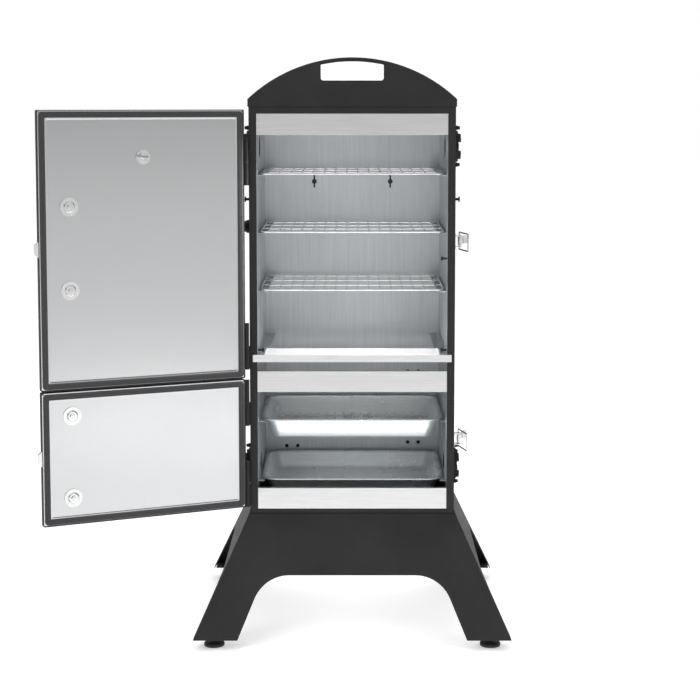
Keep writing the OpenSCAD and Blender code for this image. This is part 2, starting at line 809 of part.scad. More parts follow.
// The upper half of the two hinges of a door: knuckle and the leaf on the door's edge
module door_hinges(tops) {
    half = hinge_h / 2 - slack / 2;
    color([0.16, 0.16, 0.16]) for (top = tops) translate([hinge_x, hinge_y, top - half]) {
        difference() {
            union() {
                cylinder(r = knuckle_dia / 2, h = half);
                block([0, -1, 0], [hinge_out, 1, half]);
            }
            translate([0, 0, -1]) cylinder(r = hinge_pin_dia / 2 + pin_slack, h = half - 2 + 1);
        }
        block([hinge_out - leaf_t, y_skin - hinge_y + 3, 0], [hinge_out, y_pan - hinge_y - 1, half]);
    }
}

module thermometer_case() {
    color([0.75, 0.75, 0.75]) {
        translate([0, y_skin, dial_z]) rotate([90, 0, 0]) difference() {
            union() {
                cylinder(r = 12, h = 6);
                translate([0, 0, 6]) cylinder(r = dial_dia / 2, h = 14);
            }
            translate([0, 0, 9]) cylinder(r = dial_dia / 2 - 3, h = 12);
        }
        // stem through the door, its probe, and the nut with a washer on the inside
        stem_hole(stem_r, y_pan + 6, y_skin);
        stem_hole(3, y_pan + 46, y_pan);
        translate([0, y_pan, dial_z]) rotate([-90, 0, 0]) {
            cylinder(r = 16, h = 1.2);
            cylinder(r = 11, h = 5, $fn = 6);
        }
    }
}

module thermometer_dial() {
    color("white") translate([0, y_skin - 9, dial_z]) rotate([90, 0, 0]) {
        cylinder(r = dial_dia / 2 - 3, h = 1.5);
        cylinder(r = 1.2, h = 5);
    }
}

module thermometer_needle() {
    color("red") translate([0, y_skin - 9 - 1.5 - slack, dial_z]) rotate([90, 0, 0]) difference() {
        union() {
            cylinder(r = 3.5, h = 1.5);
            rotate([0, 0, needle_rest]) linear_extrude(0.8)
                polygon([[-8, -1.4], [dial_dia / 2 - 9, -0.4], [dial_dia / 2 - 9, 0.4], [-8, 1.4]]);
        }
        translate([0, 0, -1]) cylinder(r = 1.2 + pin_slack, h = 4);
    }
}

module thermometer_lens() {
    color([0.8, 0.9, 0.95, 0.4]) translate([0, y_skin - 17, dial_z]) rotate([90, 0, 0])
        cylinder(r = dial_dia / 2 - 3, h = 2);
}

// The sheets of both doors with the holes for the bolts and the thermometer
module upper_door_skin() {
    hung() difference() {
        door_skin(upper_z);
        through_door(bolt_r + bolt_slack, y_pan + 1, y_skin - 1, handle_bolts(upper_handle_z));
        stem_hole(stem_r + bolt_slack, y_pan + 1, y_skin - 1);
    }
}

module upper_door_liner() {
    hung() difference() {
        door_liner(upper_z);
        through_door(bolt_r + bolt_slack, y_pan + 1, y_skin - 1, handle_bolts(upper_handle_z));
        stem_hole(stem_r + bolt_slack, y_pan + 1, y_skin - 1);
    }
}

module upper_door_insulation() {
    hung() difference() {
        door_insulation(upper_z);
        through_door(bolt_r + 1, y_pan + 1, y_skin - 1, handle_bolts(upper_handle_z));
        stem_hole(stem_r + 1, y_pan + 1, y_skin - 1);
    }
}

module lower_door_skin() {
    hung() difference() {
        door_skin(lower_z);
        through_door(bolt_r + bolt_slack, y_pan + 1, y_skin - 1, handle_bolts(lower_handle_z));
    }
}

module lower_door_liner() {
    hung() difference() {
        door_liner(lower_z);
        through_door(bolt_r + bolt_slack, y_pan + 1, y_skin - 1, handle_bolts(lower_handle_z));
    }
}

module lower_door_insulation() {
    hung() difference() {
        door_insulation(lower_z);
        through_door(bolt_r + 1, y_pan + 1, y_skin - 1, handle_bolts(lower_handle_z));
    }
}

// ---- what stands and slides inside ----

// A wire rack: two side rods, three slightly thinner cross rods, and bars from front to back on top
module rack(z) {
    r = frame_wire / 2;
    x = rack_half - r;
    y0 = y_rack + r;
    y1 = y_rack + rack_d - r;
    color([0.8, 0.8, 0.8]) {
        for (s = [-1, 1]) bar([s * x, y_rack, z], [s * x, y_rack + rack_d, z], r);
        for (i = [0:3]) let (y = y0 + (y1 - y0) * i / 3) bar([-x, y, z], [x, y, z], r - 0.4);
        for (i = [0:bar_count - 1]) {
            bx = (i - (bar_count - 1) / 2) * bar_pitch;
            bar([bx, y0 - 1, z + r], [bx, y1 + 1, z + r], bar_wire / 2);
        }
    }
}

// A bent sheet: a lip in front of the face frame, a flat ledge, and a lower tail behind a slope
module drip_shelf() {
    low = z_mid_rail + rail_h + 3;
    drop = z_shelf - pan_t - low - pan_t;
    y_lip = y_front - leaf_t - leaf_screw_h - slack - pan_t;
    y_step = y_front + ledge_d;
    y_low = y_step + drop;
    y_end = y_in - shelf_back_gap;
    lip_half = x_in + 10;
    slope_half = pan_body_half - shelf_rest - 1;    // passes between the ledges as the shelf slides
    color([0.85, 0.85, 0.85]) {
        block([-lip_half, y_lip, z_shelf - lip_h], [lip_half, y_lip + pan_t, z_shelf]);
        block([-pan_body_half, y_lip, z_shelf - pan_t], [pan_body_half, y_step, z_shelf]);
        translate([-slope_half, 0, 0]) rotate([90, 0, 90]) linear_extrude(2 * slope_half)
            polygon([[y_step - 2, z_shelf], [y_step + 0.5, z_shelf], [y_low + 0.5, low + pan_t],
                     [y_end - pan_t, low + pan_t], [y_end - pan_t, low + 5], [y_end, low + 5],
                     [y_end, low], [y_low, low], [y_step, z_shelf - pan_t],
                     [y_step - 2, z_shelf - pan_t]]);
    }
}

// The solid shape of a pan's body, with walls that lean in towards its floor
module pan_body(z_rim, depth, inset) {
    d = pan_d - 2 * pan_rim - 2 * inset;
    w = 2 * pan_body_half - 2 * inset;
    hull() {
        translate([0, y_pan_mid, z_rim - 0.5]) linear_extrude(0.5) rounded(w, d, pan_corner);
        translate([0, y_pan_mid, z_rim - depth + inset]) linear_extrude(0.5)
            rounded(w - 2 * pan_taper, d - 2 * pan_taper, pan_corner - pan_taper / 2);
    }
}

module pan(z_rim, depth) {
    rim_corner = pan_corner + pan_rim;
    difference() {
        union() {
            pan_body(z_rim, depth, 0, $fn = 32);
            translate([0, y_pan_mid, z_rim - pan_t]) linear_extrude(pan_t)
                rounded(2 * pan_half, pan_d, rim_corner);
            // rolled edge of the rim
            translate([0, y_pan_mid, z_rim - rim_bead]) linear_extrude(rim_bead) difference() {
                rounded(2 * pan_half, pan_d, rim_corner);
                rounded(2 * pan_half - 3, pan_d - 3, rim_corner - 1.5);
            }
        }
        translate([0, 0, 0.01]) pan_body(z_rim, depth, pan_t, $fn = 32);
    }
}

module fuel_pan() { color([0.72, 0.73, 0.74]) pan(z_fuel, fuel_pan_h); }

module water_pan() { color([0.72, 0.73, 0.74]) pan(z_water, water_pan_h); }

// Bars on two cross rods that stand on the fuel pan's floor
module fuel_grate() {
    half = pan_floor_half - 4;
    depth = pan_floor_d / 2 - 6;
    z = z_fuel - fuel_pan_h + pan_t + slack + 6;
    count = floor(half / grate_pitch);
    color([0.6, 0.6, 0.6]) {
        for (i = [-count:count])
            bar([i * grate_pitch, y_pan_mid - depth, z + 3], [i * grate_pitch, y_pan_mid + depth, z + 3], 2, $fn = 16);
        for (s = [-0.8, 0.8]) {
            bar([-half, y_pan_mid + s * depth, z], [half, y_pan_mid + s * depth, z], 2, $fn = 16);
            for (x = [-0.8, 0.8]) translate([x * half, y_pan_mid + s * depth, z - 6])
                cylinder(r = 2, h = 6, $fn = 16);
        }
    }
}

side_panels();
back_panel();
end_panels();
face_frame();
side_walls();
back_wall();
ceiling();
chamber_floor();
cabinet_insulation();
front_rails();
support_rails();
roof_sheet();
roof_fascias();
name_plate();
stand_front();
stand_back();
stand_sides();
foot_brackets();
translate([-foot_x, -foot_y, 0]) foot();  // front_left_foot
translate([foot_x, -foot_y, 0]) foot();  // front_right_foot
translate([-foot_x, foot_y, 0]) foot();  // back_left_foot
translate([foot_x, foot_y, 0]) foot();  // back_right_foot
cabinet_hinges();
cabinet_fasteners();
side_fittings();
damper_seats();
damper(-1, z_damper[0]);  // upper_left_damper
damper(1, z_damper[0]);  // upper_right_damper
damper(-1, z_damper[1]);  // lower_left_damper
damper(1, z_damper[1]);  // lower_right_damper
latch_bases();
lever_at_rest(z_keeper_upper);  // upper_latch_lever
bail_at_rest(z_keeper_upper);  // upper_latch_bail
lever_at_rest(z_keeper_lower);  // lower_latch_lever
bail_at_rest(z_keeper_lower);  // lower_latch_bail
upper_door_skin();
upper_door_liner();
hung() door_gasket(upper_z);  // upper_door_gasket
upper_door_insulation();
hung() door_handle(upper_handle_z);  // upper_door_handle
hung() door_hardware(upper_handle_z);  // upper_door_hardware
hung() door_hinges([hinge_z[0], hinge_z[1]]);  // upper_door_hinges
hung() thermometer_case();
hung() thermometer_dial();
hung() thermometer_needle();
hung() thermometer_lens();
lower_door_skin();
lower_door_liner();
hung() door_gasket(lower_z);  // lower_door_gasket
lower_door_insulation();
hung() door_handle(lower_handle_z);  // lower_door_handle
hung() door_hardware(lower_handle_z);  // lower_door_hardware
hung() door_hinges([hinge_z[2], hinge_z[3]]);  // lower_door_hinges
rack(rack_z[0]);  // low_rack
rack(rack_z[1]);  // middle_rack
rack(rack_z[2]);  // high_rack
drip_shelf();
fuel_pan();
fuel_grate();
water_pan();
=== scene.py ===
# Cabinet smoker: finishes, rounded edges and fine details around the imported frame
import bpy
import bmesh
import json
import math
from mathutils import Matrix, Vector

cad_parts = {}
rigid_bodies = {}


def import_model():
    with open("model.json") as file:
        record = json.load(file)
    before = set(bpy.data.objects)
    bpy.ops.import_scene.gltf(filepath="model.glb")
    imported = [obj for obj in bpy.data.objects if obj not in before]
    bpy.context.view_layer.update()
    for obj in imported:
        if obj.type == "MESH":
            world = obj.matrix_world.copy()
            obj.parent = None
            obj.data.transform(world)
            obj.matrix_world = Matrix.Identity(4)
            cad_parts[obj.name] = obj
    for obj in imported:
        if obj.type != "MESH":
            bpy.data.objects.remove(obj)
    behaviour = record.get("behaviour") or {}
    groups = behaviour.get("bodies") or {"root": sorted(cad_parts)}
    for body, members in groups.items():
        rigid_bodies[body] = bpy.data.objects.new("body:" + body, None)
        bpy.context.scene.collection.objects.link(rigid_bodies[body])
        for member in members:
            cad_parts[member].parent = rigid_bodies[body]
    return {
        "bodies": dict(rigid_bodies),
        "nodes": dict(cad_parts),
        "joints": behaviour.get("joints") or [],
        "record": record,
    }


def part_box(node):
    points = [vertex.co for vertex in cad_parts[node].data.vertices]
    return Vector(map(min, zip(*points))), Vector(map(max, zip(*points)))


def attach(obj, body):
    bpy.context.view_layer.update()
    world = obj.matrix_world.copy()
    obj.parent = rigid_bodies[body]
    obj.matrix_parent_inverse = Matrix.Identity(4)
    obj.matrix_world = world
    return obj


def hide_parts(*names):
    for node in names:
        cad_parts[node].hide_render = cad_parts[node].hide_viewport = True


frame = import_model()
nodes = frame["nodes"]
joints = {j["name"]: j for j in frame["joints"]}
bodyOf = {n: b for b, members in frame["record"]["behaviour"]["bodies"].items() for n in members}
slotOf = {s["node"]: s["material_slot"] for s in frame["record"]["subparts"]}
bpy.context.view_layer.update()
scene = bpy.context.scene
print("frame loaded,", len(nodes), "nodes")

# ---------- camera, floor and light ----------

camera = {
    "eye": (0.0, -3.7840, 1.2028),
    "pitch": 5.241,     # degrees below level
    "lens": 83.68,       # on a 36 mm sensor
    "shiftX": -0.0032,
    "shiftY": -0.14,
}

stage = {
    "floorSize": 60.0,
    "floorAlbedo": 0.86,
    "floorRoughness": 0.9,
    "floorShine": 0.1,
    "floorGlow": 0.32,
    "skyStrength": 1.1,   # with a dark band that gives bright metal its contrast
    "sky": ((0.0, 0.55), (0.26, 0.6), (0.33, 0.12), (0.46, 0.12), (0.56, 0.9), (1.0, 1.0)),  # height, level
}

lights = {  # place, what it looks at, size, power and spread in degrees
    "key": ((-2.2, -3.2, 3.4), (0, 0, 0.6), 2.2, 66, 180),
    "fill": ((2.6, -2.4, 1.6), (0, 0, 0.7), 1.8, 14, 180),
    "back": ((0.6, 2.6, 3.0), (0, 0, 0.9), 2.4, 40, 180),
    "wash": ((1.4, -2.35, 1.8), (1.4, -2.35, 0.0), 0.8, 5, 70),
    "upperInside": ((0, -0.13, 1.13), (0, -0.13, 0), 0.12, 18.0, 180),
    "lowerInside": ((0, -0.02, 0.553), (0, -0.02, 0), 0.3, 0.5, 180),
    "overWater": ((0, -0.02, 0.436), (0, -0.02, 0), 0.3, 0.55, 180),
    "underneath": ((0, 0, 0.24), (0, 0, 0), 0.4, 0.7, 180),
}


def aim(obj, target):
    obj.rotation_euler = (Vector(target) - obj.location).to_track_quat("-Z", "Y").to_euler()


def makeCamera():
    data = bpy.data.cameras.new("camera")
    data.lens = camera["lens"]
    data.sensor_width = 36
    data.shift_x = camera["shiftX"]
    data.shift_y = camera["shiftY"]
    data.clip_end = 200
    obj = bpy.data.objects.new("camera", data)
    scene.collection.objects.link(obj)
    obj.location = camera["eye"]
    obj.rotation_euler = (math.radians(90 - camera["pitch"]), 0, 0)
    scene.camera = obj


def makeLights():
    for name, (spot, target, size, power, spreadAngle) in lights.items():
        data = bpy.data.lights.new(name, "AREA")
        data.shape = "SQUARE"
        data.size = size
        data.energy = power
        data.spread = math.radians(spreadAngle)
        obj = bpy.data.objects.new(name, data)
        scene.collection.objects.link(obj)
        obj.location = spot
        obj.visible_glossy = False  # the metal shows the sky and the floor, not the lamps
        aim(obj, target)


def makeSky():
    world = bpy.data.worlds.new("studio")
    scene.world = world
    world.use_nodes = True
    tree = world.node_tree
    tree.nodes.clear()
    coord = tree.nodes.new("ShaderNodeTexCoord")
    split = tree.nodes.new("ShaderNodeSeparateXYZ")
    ramp = tree.nodes.new("ShaderNodeValToRGB")
    stops = stage["sky"]
    while len(ramp.color_ramp.elements) < len(stops):
        ramp.color_ramp.elements.new(0.5)
    for element, (height, level) in zip(ramp.color_ramp.elements, stops):
        element.position = height
        element.color = (level, level, level, 1)
    seen = tree.nodes.new("ShaderNodeBackground")
    soft = tree.nodes.new("ShaderNodeBackground")
    path = tree.nodes.new("ShaderNodeLightPath")
    mix = tree.nodes.new("ShaderNodeMixShader")
    out = tree.nodes.new("ShaderNodeOutputWorld")
    seen.inputs["Color"].default_value = (1, 1, 1, 1)
    seen.inputs["Strength"].default_value = 1.0
    soft.inputs["Strength"].default_value = stage["skyStrength"]  # what everything but the camera sees
    tree.links.new(coord.outputs["Generated"], split.inputs[0])
    tree.links.new(split.outputs["Z"], ramp.inputs["Fac"])
    tree.links.new(ramp.outputs["Color"], soft.inputs["Color"])
    tree.links.new(path.outputs["Is Camera Ray"], mix.inputs[0])
    tree.links.new(soft.outputs[0], mix.inputs[1])
    tree.links.new(seen.outputs[0], mix.inputs[2])
    tree.links.new(mix.outputs[0], out.inputs[0])


def makeFloor():
    half = stage["floorSize"] / 2
    mesh = bpy.data.meshes.new("floor")
    corners = [(-half, -half, 0), (half, -half, 0), (half, half, 0), (-half, half, 0)]
    mesh.from_pydata(corners, [], [(0, 1, 2, 3)])
    obj = bpy.data.objects.new("floor", mesh)
    scene.collection.objects.link(obj)
    mat, tree, bsdf = newMaterial("floorWhite")
    albedo = stage["floorAlbedo"]
    bsdf.inputs["Base Color"].default_value = (albedo, albedo, albedo, 1)
    bsdf.inputs["Roughness"].default_value = stage["floorRoughness"]
    bsdf.inputs["Specular IOR Level"].default_value = stage["floorShine"]
    bsdf.inputs["Emission Color"].default_value = (1, 1, 1, 1)
    bsdf.inputs["Emission Strength"].default_value = stage["floorGlow"]
    mesh.materials.append(mat)


# ---------- materials ----------

def newMaterial(name):
    mat = bpy.data.materials.new(name)
    mat.use_nodes = True
    tree = mat.node_tree
    return mat, tree, tree.nodes["Principled BSDF"]


def noiseOver(tree, stretch, scale, detail=4.0, rough=0.55):
    coord = tree.nodes.new("ShaderNodeTexCoord")
    mapping = tree.nodes.new("ShaderNodeMapping")
    mapping.inputs["Scale"].default_value = stretch
    noise = tree.nodes.new("ShaderNodeTexNoise")
    noise.inputs["Scale"].default_value = scale
    noise.inputs["Detail"].default_value = detail
    noise.inputs["Roughness"].default_value = rough
    tree.links.new(coord.outputs["Object"], mapping.inputs["Vector"])
    tree.links.new(mapping.outputs["Vector"], noise.inputs["Vector"])
    return noise.outputs["Fac"]


def spread(tree, value, low, high, start=0.3, end=0.7):
    node = tree.nodes.new("ShaderNodeMapRange")
    node.inputs["From Min"].default_value = start
    node.inputs["From Max"].default_value = end
    node.inputs["To Min"].default_value = low
    node.inputs["To Max"].default_value = high
    tree.links.new(value, node.inputs["Value"])
    return node.outputs["Result"]


def tint(tree, value, dark, light):
    node = tree.nodes.new("ShaderNodeMix")
    node.data_type = "RGBA"
    node.inputs["A"].default_value = (*dark, 1)
    node.inputs["B"].default_value = (*light, 1)
    tree.links.new(value, node.inputs["Factor"])
    return node.outputs["Result"]


def bumpFrom(tree, bsdf, value, strength, distance, under=None):
    node = tree.nodes.new("ShaderNodeBump")
    node.inputs["Strength"].default_value = strength
    node.inputs["Distance"].default_value = distance
    tree.links.new(value, node.inputs["Height"])
    if under:
        tree.links.new(under, node.inputs["Normal"])
    tree.links.new(node.outputs["Normal"], bsdf.inputs["Normal"])
    return node.outputs["Normal"]


def paintedSteel(name, v):  # powder-coated sheet: fine orange peel, faint dust
    mat, tree, bsdf = newMaterial(name)
    cloud = spread(tree, noiseOver(tree, (1, 1, 1), 7, 5), 0, 1)
    tree.links.new(tint(tree, cloud, v["dark"], v["light"]), bsdf.inputs["Base Color"])
    rough = spread(tree, noiseOver(tree, (1, 1, 1), 40, 5), *v["roughness"])
    tree.links.new(rough, bsdf.inputs["Roughness"])
    bsdf.inputs["Specular IOR Level"].default_value = v["gloss"]
    bumpFrom(tree, bsdf, noiseOver(tree, (1, 1, 1), 1500, 2), v["peel"], 0.0002)
    return mat


def brushedSteel(name, v):  # rolled sheet with a grain along one direction
    mat, tree, bsdf = newMaterial(name)
    bsdf.inputs["Metallic"].default_value = v.get("metal", 1.0)
    fine = noiseOver(tree, v["stretch"], 420, 3)
    broad = noiseOver(tree, tuple(0.05 * s + 0.5 for s in v["stretch"]), 9, 4)
    tree.links.new(tint(tree, spread(tree, fine, 0, 1), v["dark"], v["light"]), bsdf.inputs["Base Color"])
    tree.links.new(spread(tree, broad, *v["roughness"]), bsdf.inputs["Roughness"])
    bumpFrom(tree, bsdf, fine, v["grain"], 0.00012)
    return mat


def platedWire(name, v):
    mat, tree, bsdf = newMaterial(name)
    bsdf.inputs["Metallic"].default_value = 1.0
    cloud = spread(tree, noiseOver(tree, (1, 1, 1), 60, 4), 0, 1)
    tree.links.new(tint(tree, cloud, v["dark"], v["light"]), bsdf.inputs["Base Color"])
    rough = spread(tree, noiseOver(tree, (1, 1, 1), 300, 3), *v["roughness"])
    tree.links.new(rough, bsdf.inputs["Roughness"])
    return mat


def wovenRope(name, v):  # tight fibreglass braid
    mat, tree, bsdf = newMaterial(name)
    weave = noiseOver(tree, (1, 1, 1), 1300, 2)
    tree.links.new(tint(tree, spread(tree, weave, 0, 1), v["dark"], v["light"]), bsdf.inputs["Base Color"])
    bsdf.inputs["Roughness"].default_value = 0.85
    bsdf.inputs["Specular IOR Level"].default_value = 0.25
    bsdf.inputs["Sheen Weight"].default_value = 0.25
    coord = tree.nodes.new("ShaderNodeTexCoord")
    wave = tree.nodes.new("ShaderNodeTexWave")
    wave.bands_direction = "DIAGONAL"
    wave.inputs["Scale"].default_value = 160
    wave.inputs["Distortion"].default_value = 1.5
    tree.links.new(coord.outputs["Object"], wave.inputs["Vector"])
    under = bumpFrom(tree, bsdf, wave.outputs["Fac"], 0.5, 0.0004)
    bumpFrom(tree, bsdf, weave, 0.6, 0.0003, under)
    return mat


def plain(name, v):  # enamel, moulded rubber and the like: a smooth body with a slight mottle
    mat, tree, bsdf = newMaterial(name)
    cloud = spread(tree, noiseOver(tree, (1, 1, 1), 25, 4), 0, 1)
    tree.links.new(tint(tree, cloud, v["dark"], v["light"]), bsdf.inputs["Base Color"])
    rough = spread(tree, noiseOver(tree, (1, 1, 1), 120, 3), *v["roughness"])
    tree.links.new(rough, bsdf.inputs["Roughness"])
    bumpFrom(tree, bsdf, noiseOver(tree, (1, 1, 1), 900, 2), v["bump"], 0.0002)
    return mat


def clearGlass(name, v):
    mat, tree, bsdf = newMaterial(name)
    bsdf.inputs["Base Color"].default_value = (*v["color"], 1)
    bsdf.inputs["Alpha"].default_value = v["alpha"]
    rough = spread(tree, noiseOver(tree, (1, 1, 1), 80, 3), *v["roughness"])
    tree.links.new(rough, bsdf.inputs["Roughness"])
    return mat


finishes = {  # one for each material slot of the record
    "black_paint": (paintedSteel, {"dark": (0.017, 0.017, 0.018), "light": (0.023, 0.023, 0.024),
                                   "roughness": (0.5, 0.62), "gloss": 0.14, "peel": 0.12}),
    "black_fittings": (paintedSteel, {"dark": (0.012, 0.012, 0.013), "light": (0.018, 0.018, 0.019),
                                      "roughness": (0.42, 0.55), "gloss": 0.2, "peel": 0.08}),
    "liner_steel": (brushedSteel, {"dark": (0.62, 0.64, 0.655), "light": (0.70, 0.72, 0.735),
                                   "roughness": (0.5, 0.58), "grain": 0.08, "stretch": (1, 1, 0.02)}),
    "floor_steel": (brushedSteel, {"dark": (0.10, 0.11, 0.13), "light": (0.15, 0.16, 0.18),
                                   "roughness": (0.35, 0.5), "grain": 0.1, "stretch": (0.05, 1, 1)}),
    "rail_steel": (brushedSteel, {"dark": (0.57, 0.57, 0.57), "light": (0.64, 0.64, 0.64),
                                  "roughness": (0.34, 0.44), "grain": 0.08, "stretch": (0.03, 1, 1)}),
    "pan_steel": (brushedSteel, {"dark": (0.64, 0.66, 0.67), "light": (0.72, 0.74, 0.75), "metal": 0.85,
                                 "roughness": (0.24, 0.34), "grain": 0.05, "stretch": (0.05, 1, 1)}),
    "wire_chrome": (platedWire, {"dark": (0.66, 0.66, 0.67), "light": (0.8, 0.8, 0.81),
                                 "roughness": (0.1, 0.18)}),
    "latch_chrome": (platedWire, {"dark": (0.5, 0.5, 0.5), "light": (0.68, 0.68, 0.68),
                                  "roughness": (0.08, 0.16)}),
    "hardware_steel": (brushedSteel, {"dark": (0.56, 0.56, 0.56), "light": (0.68, 0.68, 0.68),
                                      "roughness": (0.14, 0.24), "grain": 0.05, "stretch": (1, 1, 0.05)}),
    "gasket_rope": (wovenRope, {"dark": (0.02, 0.02, 0.021), "light": (0.05, 0.05, 0.052)}),
    # painted shade: the mineral wool is coloured near black to stand for the shade seen through the back
    # wall's holes
    "wool": (plain, {"dark": (0.004, 0.004, 0.004), "light": (0.009, 0.009, 0.008),
                     "roughness": (0.85, 0.95), "bump": 0.6}),
    "plate_white": (plain, {"dark": (0.86, 0.86, 0.86), "light": (0.92, 0.92, 0.92),
                            "roughness": (0.2, 0.3), "bump": 0.03}),
    "dial_white": (plain, {"dark": (0.84, 0.84, 0.82), "light": (0.9, 0.9, 0.88),
                           "roughness": (0.4, 0.5), "bump": 0.03}),
    "needle_red": (plain, {"dark": (0.5, 0.03, 0.02), "light": (0.6, 0.04, 0.03),
                           "roughness": (0.3, 0.4), "bump": 0.03}),
    "lens_glass": (clearGlass, {"color": (0.9, 0.95, 0.97), "alpha": 0.18, "roughness": (0.02, 0.06)}),
    "foot_rubber": (plain, {"dark": (0.012, 0.012, 0.012), "light": (0.022, 0.022, 0.022),
                            "roughness": (0.5, 0.65), "bump": 0.1}),
}
materials = {slot: make(slot, values) for slot, (make, values) in finishes.items()}
doorSteel = brushedSteel("doorSteel", {  # the door liners are smoother than the walls
    "dark": (0.48, 0.485, 0.49), "light": (0.50, 0.505, 0.51),
    "roughness": (0.17, 0.2), "grain": 0.03, "stretch": (0.02, 1, 1)})
shelfSteel = brushedSteel("shelfSteel", {  # and the drip shelf is paler than the rails
    "dark": (0.60, 0.60, 0.60), "light": (0.66, 0.66, 0.66), "metal": 0.65,
    "roughness": (0.4, 0.5), "grain": 0.05, "stretch": (0.03, 1, 1)})
print("materials made")

# ---------- shape helpers ----------

def cornered(x0, x1, z0, z1, radius, steps=6):  # a rectangle with round corners, anticlockwise
    points = []
    for cx, cz, start in ((x1 - radius, z1 - radius, 0), (x0 + radius, z1 - radius, 90),
                          (x0 + radius, z0 + radius, 180), (x1 - radius, z0 + radius, 270)):
        for i in range(steps + 1):
            a = math.radians(start + 90 * i / steps)
            points.append((cx + radius * math.cos(a), cz + radius * math.sin(a)))
    return points


def joinLoops(loops, ring=False, caps=False):
    size, count = len(loops[0]), len(loops)
    verts = [p for loop in loops for p in loop]
    faces = []
    for i in range(count if ring else count - 1):
        a, b = i * size, (i + 1) % count * size
        faces += [(a + k, a + (k + 1) % size, b + (k + 1) % size, b + k) for k in range(size)]
    if caps:
        faces += [tuple(range(size)), tuple(range((count - 1) * size, count * size))]
    return verts, faces


def together(shapes):
    verts, faces = [], []
    for v, f in shapes:
        faces += [tuple(i + len(verts) for i in face) for face in f]
        verts += v
    return verts, faces


def tube(path, radius, sides=10, closed=False):
    points = [Vector(p) for p in path]
    count, loops, up = len(points), [], None
    for i, p in enumerate(points):
        before = points[(i - 1) % count] if closed or i else p
        after = points[(i + 1) % count] if closed or i < count - 1 else p
        along = (after - before).normalized()
        up = along.orthogonal() if up is None else up
        up = (up - along * up.dot(along)).normalized()
        side = along.cross(up)
        turns = [math.tau * k / sides for k in range(sides)]
        loops.append([tuple(p + radius * (math.cos(w) * up + math.sin(w) * side)) for w in turns])
    return joinLoops(loops, ring=closed, caps=not closed)


def lathe(profile, origin, axis, segments=40):  # profile: radius, distance along the axis
    axis = Vector(axis).normalized()
    u = axis.orthogonal().normalized()
    v = axis.cross(u)
    loops = []
    for r, h in profile:
        turns = [math.tau * k / segments for k in range(segments)]
        middle = Vector(origin) + axis * h
        loops.append([tuple(middle + max(r, 1e-5) * (math.cos(w) * u + math.sin(w) * v)) for w in turns])
    return joinLoops(loops, caps=True)


def smoothByAngle(mesh, degrees):
    bm = bmesh.new()
    bm.from_mesh(mesh)
    for f in bm.faces:
        f.smooth = True
    for e in bm.edges:
        e.smooth = len(e.link_faces) == 2 and e.calc_face_angle(0) < math.radians(degrees)
    bm.to_mesh(mesh)
    bm.free()


def addBevel(obj, width, segments=2, degrees=30):
    bevel = obj.modifiers.new("edges", "BEVEL")
    bevel.width = width
    bevel.segments = segments
    bevel.limit_method = "ANGLE"
    bevel.angle_limit = math.radians(degrees)
    obj.modifiers.new("normals", "WEIGHTED_NORMAL").keep_sharp = True


def place(obj, node=None, body=None, slot=None):
    scene.collection.objects.link(obj)
    slot = slot or slotOf[node]
    obj.data.materials.clear()
    obj.data.materials.append(materials[slot])
    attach(obj, body or bodyOf[node])
    if node:
        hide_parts(node)
    return obj


def newPiece(name, shape, node=None, body=None, slot=None, sharp=35, bevel=0, hung=None):
    mesh = bpy.data.meshes.new(name)
    mesh.from_pydata([tuple(v) for v in shape[0]], [], shape[1])
    bm = bmesh.new()
    bm.from_mesh(mesh)
    bmesh.ops.remove_doubles(bm, verts=bm.verts, dist=1e-6)
    bmesh.ops.recalc_face_normals(bm, faces=bm.faces)
    bm.to_mesh(mesh)
    bm.free()
    if hung:
        mesh.transform(hung)
    smoothByAngle(mesh, sharp)
    obj = place(bpy.data.objects.new(name, mesh), node, body, slot)
    if bevel:
        addBevel(obj, bevel)
    return obj


# a copy of a node with its faces joined and its edges rounded
def softened(node, width, segments=2, degrees=30):
    mesh = nodes[node].data.copy()
    bm = bmesh.new()
    bm.from_mesh(mesh)
    bmesh.ops.remove_doubles(bm, verts=bm.verts, dist=2e-6)
    bmesh.ops.dissolve_limit(bm, angle_limit=math.radians(0.6), verts=bm.verts, edges=bm.edges)
    bm.to_mesh(mesh)
    bm.free()
    smoothByAngle(mesh, degrees)
    obj = place(bpy.data.objects.new(node + "_rounded", mesh), node)
    if width:
        addBevel(obj, width, segments, degrees)
    return obj


makeCamera()
makeSky()
makeLights()
makeFloor()
for node in nodes:
    nodes[node].data.materials.clear()
    nodes[node].data.materials.append(materials[slotOf[node]])
print("camera, light and floor ready")

# ---------- sheets and small fittings ----------

rounding = {  # edge radius, metres
    "side_panels": 0.0005, "back_panel": 0.0005, "end_panels": 0.0004, "face_frame": 0.0005,
    "side_walls": 0.0003, "back_wall": 0.0003, "ceiling": 0.0003, "chamber_floor": 0.0003,
    "front_rails": 0.0006, "support_rails": 0.0003, "drip_shelf": 0.0004,
    "stand_front": 0.0008, "stand_back": 0.0008, "stand_sides": 0.0008, "foot_brackets": 0.0006,
    "cabinet_hinges": 0.0004, "cabinet_fasteners": 0.0003, "side_fittings": 0.0006, "damper_seats": 0.0004,
    "upper_left_damper": 0.0005, "upper_right_damper": 0.0005, "lower_left_damper": 0.0005,
    "lower_right_damper": 0.0005, "upper_door_hinges": 0.0004, "lower_door_hinges": 0.0004,
    "latch_bases": 0.0004, "upper_latch_lever": 0.0005, "lower_latch_lever": 0.0005,
    "upper_latch_bail": 0, "lower_latch_bail": 0, "fuel_grate": 0,
    "upper_door_hardware": 0.0004, "lower_door_hardware": 0.0004, "thermometer_case": 0.0005,
    "thermometer_needle": 0.0002, "thermometer_lens": 0.0003, "thermometer_dial": 0.0003,
}
for node, width in rounding.items():
    piece = softened(node, width)
    if node == "drip_shelf":
        piece.data.materials[0] = shelfSteel
print("sheets and fittings rounded")

# ---------- doors ----------

